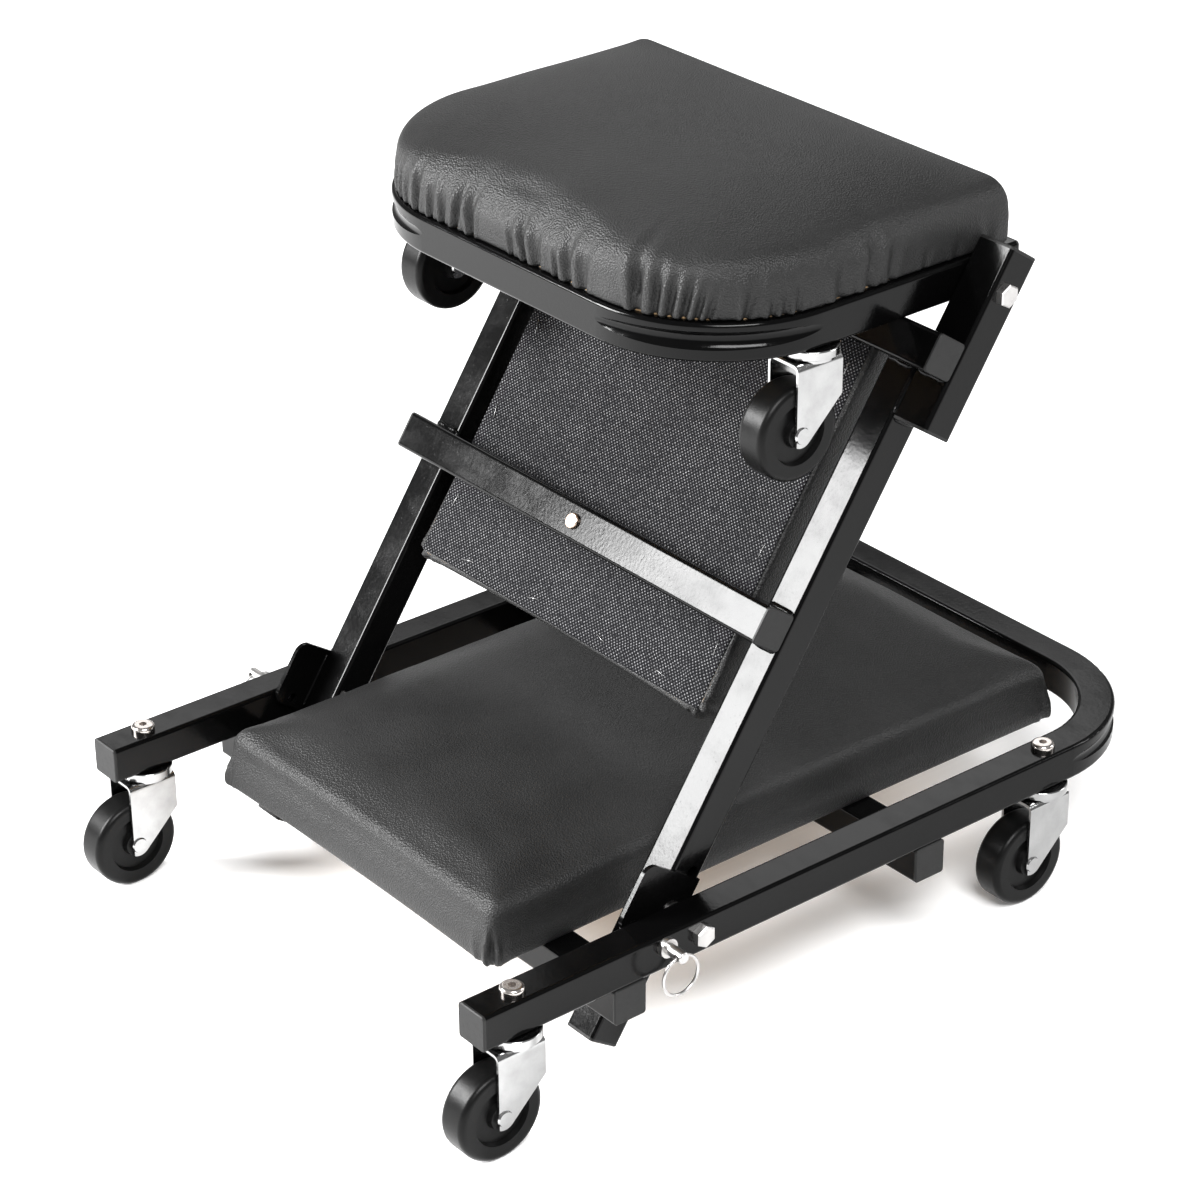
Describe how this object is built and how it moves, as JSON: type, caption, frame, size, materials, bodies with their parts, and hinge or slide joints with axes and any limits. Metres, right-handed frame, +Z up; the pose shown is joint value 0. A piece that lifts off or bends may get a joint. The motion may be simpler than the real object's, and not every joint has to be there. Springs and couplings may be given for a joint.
{
  "type": "rolling mechanic seat",
  "caption": "low workshop seat on casters: a padded stool top held over a padded base by a hinged leg frame, which unfolds flat into a creeper board once two spring pins are pulled",
  "frame": {"origin": "on the floor, under the middle of the part's overall box", "axes": "+X from the open end of the base to its closed, rounded end; +Z up; the right side is -Y; the rest pose is the seat"},
  "size_m": [0.6188, 0.4712, 0.5325],
  "materials": {
    "frame_paint": "glossy black powder coat",
    "cap_plastic": "dark grey moulded caps",
    "board_wood": "plywood",
    "pad_vinyl": "black grained vinyl over foam",
    "dust_cloth": "black and grey woven cloth",
    "screw_steel": "copper-toned plated screws",
    "bolt_nickel": "nickel plate",
    "bolt_zinc": "bright zinc plate",
    "caster_zinc": "bright zinc-plated pressed steel",
    "wheel_plastic": "black moulded wheel"
  },
  "bodies": {
    "base": {"base_frame": "frame_paint", "front_cross_tube": "frame_paint", "rear_cross_tube": "frame_paint", "base_end_caps": "cap_plastic", "lower_pad_board": "board_wood", "lower_pad": "pad_vinyl", "lower_pad_screws": "screw_steel", "base_caster_bolts": "bolt_nickel", "base_swivel_cups": "caster_zinc", "base_swivel_balls": "caster_zinc", "pivot_bolts": "bolt_zinc", "pivot_nuts_and_spacers": "bolt_zinc", "pin_bosses": "bolt_zinc", "lock_spring_right": "bolt_zinc", "lock_spring_left": "bolt_zinc"},
    "middle": {"leg_rail_right": "frame_paint", "leg_rail_left": "frame_paint", "leg_cross_bar": "frame_paint", "leg_top_tube": "frame_paint", "leg_end_caps": "cap_plastic", "hinge_bracket_right": "frame_paint", "hinge_bracket_left": "frame_paint", "lock_plate_right": "frame_paint", "lock_plate_left": "frame_paint", "middle_pad_board": "board_wood", "middle_pad": "pad_vinyl", "middle_pad_cover": "dust_cloth", "middle_pad_screws": "screw_steel", "hinge_bolts": "bolt_zinc", "hinge_nuts": "bolt_zinc"},
    "seat": {"seat_frame": "frame_paint", "seat_end_caps": "cap_plastic", "seat_board": "board_wood", "seat_cushion": "pad_vinyl", "seat_screws": "screw_steel", "seat_caster_bolts": "bolt_nickel", "seat_swivel_cups": "caster_zinc", "seat_swivel_balls": "caster_zinc"},
    "pin_right": {"lock_pin_right": "bolt_zinc"},
    "ring_right": {"pin_ring_right": "bolt_zinc"},
    "pin_left": {"lock_pin_left": "bolt_zinc"},
    "ring_left": {"pin_ring_left": "bolt_zinc"},
    "fork_body_front_right": {"fork_front_right": "caster_zinc", "axle_front_right": "caster_zinc"},
    "wheel_body_front_right": {"wheel_front_right": "wheel_plastic"},
    "fork_body_front_left": {"fork_front_left": "caster_zinc", "axle_front_left": "caster_zinc"},
    "wheel_body_front_left": {"wheel_front_left": "wheel_plastic"},
    "fork_body_rear_right": {"fork_rear_right": "caster_zinc", "axle_rear_right": "caster_zinc"},
    "wheel_body_rear_right": {"wheel_rear_right": "wheel_plastic"},
    "fork_body_rear_left": {"fork_rear_left": "caster_zinc", "axle_rear_left": "caster_zinc"},
    "wheel_body_rear_left": {"wheel_rear_left": "wheel_plastic"},
    "fork_body_seat_right": {"fork_seat_right": "caster_zinc", "axle_seat_right": "caster_zinc"},
    "wheel_body_seat_right": {"wheel_seat_right": "wheel_plastic"},
    "fork_body_seat_left": {"fork_seat_left": "caster_zinc", "axle_seat_left": "caster_zinc"},
    "wheel_body_seat_left": {"wheel_seat_left": "wheel_plastic"}
  },
  "joints": [
    {"name": "middle_fold", "type": "hinge", "parent": "base", "child": "middle", "pos_m": [-0.12003, 0, 0.0995], "axis": [0, -1, 0], "range_deg": [0, 123.85]},
    {"name": "seat_fold", "type": "hinge", "parent": "middle", "child": "seat", "pos_m": [0.12303, 0, 0.46521], "axis": [0, 1, 0], "range_deg": [0, 123.7]},
    {"name": "pin_right_pull", "type": "slide", "parent": "base", "child": "pin_right", "axis": [0, -1, 0], "range_m": [-0.008, 0.004], "stiffness_N_per_m": 400, "springref_m": -0.014, "deforming": ["lock_spring_right"]},
    {"name": "ring_right_swing", "type": "hinge", "parent": "pin_right", "child": "ring_right", "pos_m": [-0.14933, -0.2317, 0.1027], "axis": [-1, 0, 0], "range_deg": [-20, 90]},
    {"name": "pin_left_pull", "type": "slide", "parent": "base", "child": "pin_left", "axis": [0, 1, 0], "range_m": [-0.008, 0.004], "stiffness_N_per_m": 400, "springref_m": -0.014, "deforming": ["lock_spring_left"]},
    {"name": "ring_left_swing", "type": "hinge", "parent": "pin_left", "child": "ring_left", "pos_m": [-0.14933, 0.2317, 0.1027], "axis": [1, 0, 0], "range_deg": [-20, 90]},
    {"name": "swivel_front_right", "type": "hinge", "parent": "base", "child": "fork_body_front_right", "pos_m": [-0.25982, -0.2043, 0.0853], "axis": [0, 0, 1], "continuous": true},
    {"name": "spin_front_right", "type": "hinge", "parent": "fork_body_front_right", "child": "wheel_body_front_right", "pos_m": [-0.27763, -0.2043, 0.03175], "axis": [0, 1, 0], "continuous": true},
    {"name": "swivel_front_left", "type": "hinge", "parent": "base", "child": "fork_body_front_left", "pos_m": [-0.25982, 0.2043, 0.0853], "axis": [0, 0, 1], "continuous": true},
    {"name": "spin_front_left", "type": "hinge", "parent": "fork_body_front_left", "child": "wheel_body_front_left", "pos_m": [-0.27763, 0.2043, 0.03175], "axis": [0, 1, 0], "continuous": true},
    {"name": "swivel_rear_right", "type": "hinge", "parent": "base", "child": "fork_body_rear_right", "pos_m": [0.19357, -0.2043, 0.0853], "axis": [0, 0, 1], "continuous": true},
    {"name": "spin_rear_right", "type": "hinge", "parent": "fork_body_rear_right", "child": "wheel_body_rear_right", "pos_m": [0.17577, -0.2043, 0.03175], "axis": [0, 1, 0], "continuous": true},
    {"name": "swivel_rear_left", "type": "hinge", "parent": "base", "child": "fork_body_rear_left", "pos_m": [0.19357, 0.2043, 0.0853], "axis": [0, 0, 1], "continuous": true},
    {"name": "spin_rear_left", "type": "hinge", "parent": "fork_body_rear_left", "child": "wheel_body_rear_left", "pos_m": [0.17577, 0.2043, 0.03175], "axis": [0, 1, 0], "continuous": true},
    {"name": "swivel_seat_right", "type": "hinge", "parent": "seat", "child": "fork_body_seat_right", "pos_m": [0.00203, -0.1724, 0.45401], "axis": [0, 0, 1], "continuous": true},
    {"name": "spin_seat_right", "type": "hinge", "parent": "fork_body_seat_right", "child": "wheel_body_seat_right", "pos_m": [-0.01577, -0.1724, 0.40046], "axis": [0, 1, 0], "continuous": true},
    {"name": "swivel_seat_left", "type": "hinge", "parent": "seat", "child": "fork_body_seat_left", "pos_m": [0.00203, 0.1724, 0.45401], "axis": [0, 0, 1], "continuous": true},
    {"name": "spin_seat_left", "type": "hinge", "parent": "fork_body_seat_left", "child": "wheel_body_seat_left", "pos_m": [-0.01577, 0.1724, 0.40046], "axis": [0, 1, 0], "continuous": true}
  ]
}
